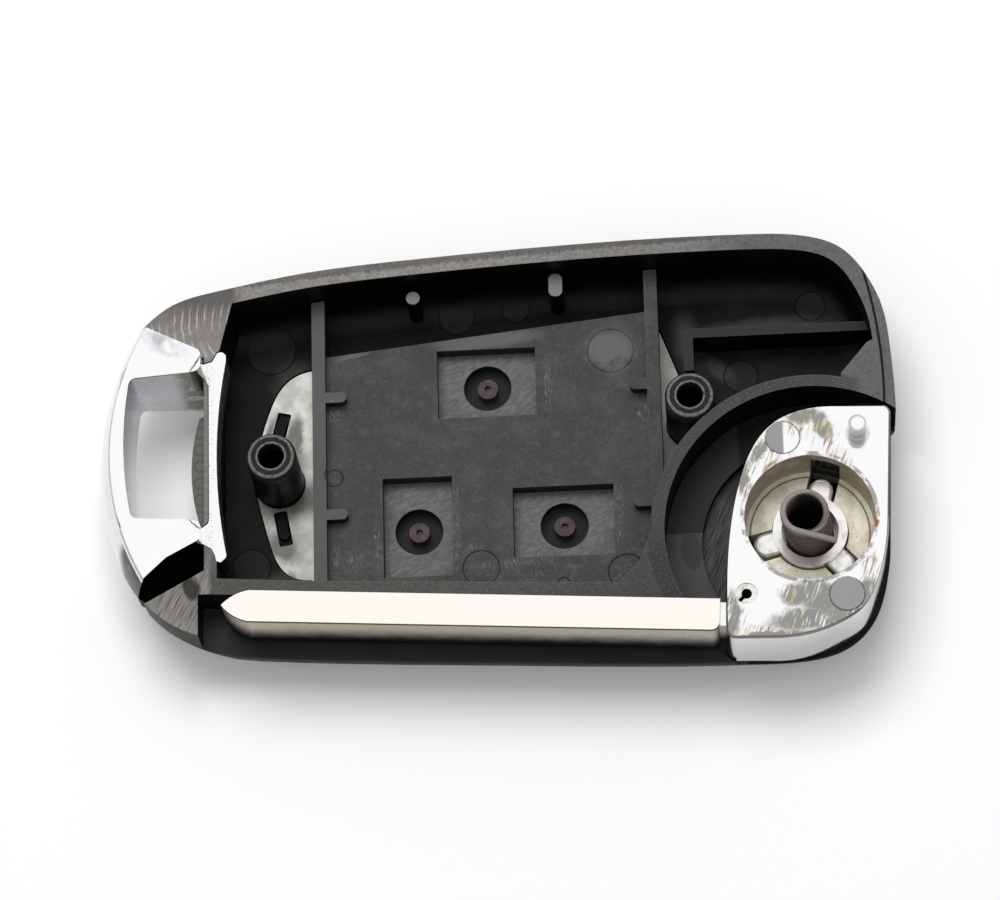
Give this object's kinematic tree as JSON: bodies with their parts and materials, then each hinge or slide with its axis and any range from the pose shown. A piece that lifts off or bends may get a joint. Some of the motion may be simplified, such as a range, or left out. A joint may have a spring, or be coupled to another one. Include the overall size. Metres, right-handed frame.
{
  "type": "flip key remote shell, open front half with key blade",
  "caption": "Open front half of a folding car key remote shell with key-ring bow, ribbed interior, swing-out blade head, release button and press buttons.",
  "frame": {"origin": "on the front face that the open shell lies on, under the centre of the whole part", "axes": "+X along the key from the key ring to the flip head, +Y from the blade side to the plain side, +Z out of the open back"},
  "size_m": [0.0776, 0.0425, 0.0147],
  "materials": {
    "black_plastic": "moulded black, fine grain",
    "carrier_plastic": "moulded black, satin",
    "bow_chrome": "bright chrome plate, a little worn",
    "head_chrome": "chrome over die casting, worn and stained",
    "blade_nickel": "pale nickel plate",
    "pin_steel": "bare steel",
    "release_metal": "die-cast, satin",
    "spring_steel": "dark oiled spring wire",
    "grey_plate": "grey moulded, satin",
    "button_rubber": "soft black",
    "plunger_plastic": "pinkish brown, satin"
  },
  "bodies": {
    "shell": {"front_housing": "black_plastic", "keyring_bow": "bow_chrome", "backing_plate": "grey_plate", "button_carrier": "carrier_plastic"},
    "head": {"flip_head": "head_chrome", "key_blade": "blade_nickel", "blade_roll_pin": "pin_steel"},
    "release": {"release_button": "release_metal", "flip_spring": "spring_steel"},
    "lock": {"lock_button": "button_rubber", "lock_plunger": "plunger_plastic"},
    "unlock": {"unlock_button": "button_rubber", "unlock_plunger": "plunger_plastic"},
    "trunk": {"trunk_button": "button_rubber", "trunk_plunger": "plunger_plastic"}
  },
  "joints": [
    {"name": "flip_hinge", "type": "hinge", "parent": "shell", "child": "head", "pos_m": [0.03, -0.00923, 0], "axis": [0, 0, 1], "range_deg": [0, 180]},
    {"name": "release_press", "type": "slide", "parent": "head", "child": "release", "axis": [0, 0, 1], "range_m": [0, 0.002], "stiffness_N_per_m": 400, "springref_m": -0.002},
    {"name": "lock_press", "type": "slide", "parent": "shell", "child": "lock", "axis": [0, 0, 1], "range_m": [0, 0.0005], "stiffness_N_per_m": 600, "springref_m": -0.0005},
    {"name": "unlock_press", "type": "slide", "parent": "shell", "child": "unlock", "axis": [0, 0, 1], "range_m": [0, 0.0005], "stiffness_N_per_m": 600, "springref_m": -0.0005},
    {"name": "trunk_press", "type": "slide", "parent": "shell", "child": "trunk", "axis": [0, 0, 1], "range_m": [0, 0.0005], "stiffness_N_per_m": 600, "springref_m": -0.0005}
  ]
}
